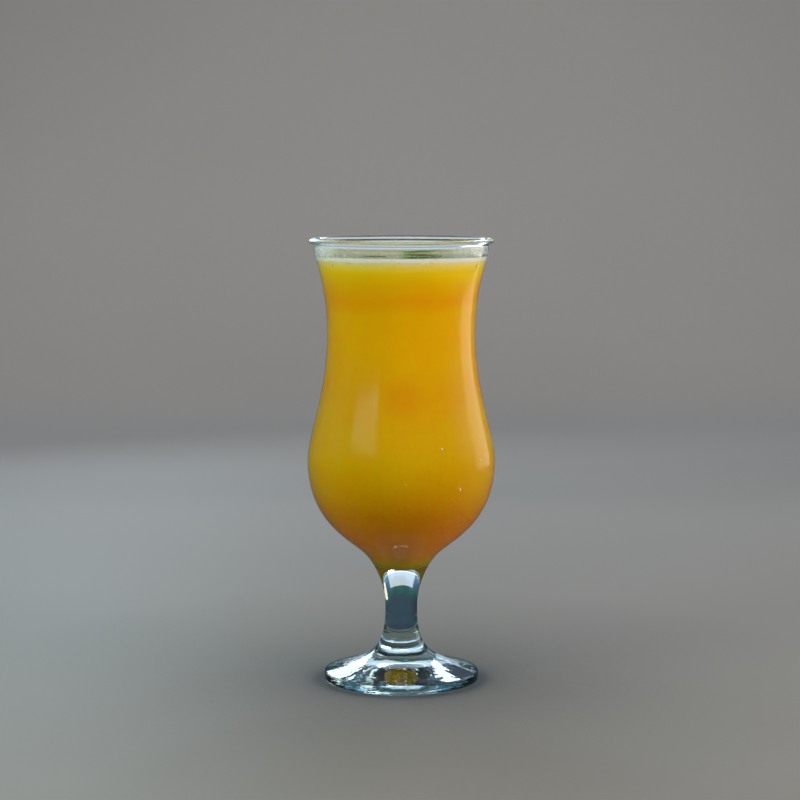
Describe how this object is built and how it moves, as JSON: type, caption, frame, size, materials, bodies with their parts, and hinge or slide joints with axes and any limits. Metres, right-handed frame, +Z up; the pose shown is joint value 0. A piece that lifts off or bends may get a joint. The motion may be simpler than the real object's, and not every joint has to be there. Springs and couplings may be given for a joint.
{
  "type": "mango smoothie in a footed glass",
  "caption": "Thick mango smoothie with a pale froth layer and mint leaves on top, served in a clear stemmed glass with a flared mouth, narrow waist, round bulb and disc foot.",
  "frame": {"origin": "centre of the foot's underside, on the table", "axes": "+Z up along the glass's axis; -Y towards the viewer of the picture"},
  "size_m": [0.0824, 0.0824, 0.195],
  "materials": {
    "clear_glass": "smooth polished clear glass",
    "mango_drink": null,
    "pale_froth": null,
    "mint_green": null
  },
  "bodies": {
    "root": {"glass": "clear_glass", "drink": "mango_drink", "froth": "pale_froth", "mint_leaf_right": "mint_green", "mint_leaf_left": "mint_green", "mint_leaf_edge": "mint_green"}
  },
  "joints": []
}
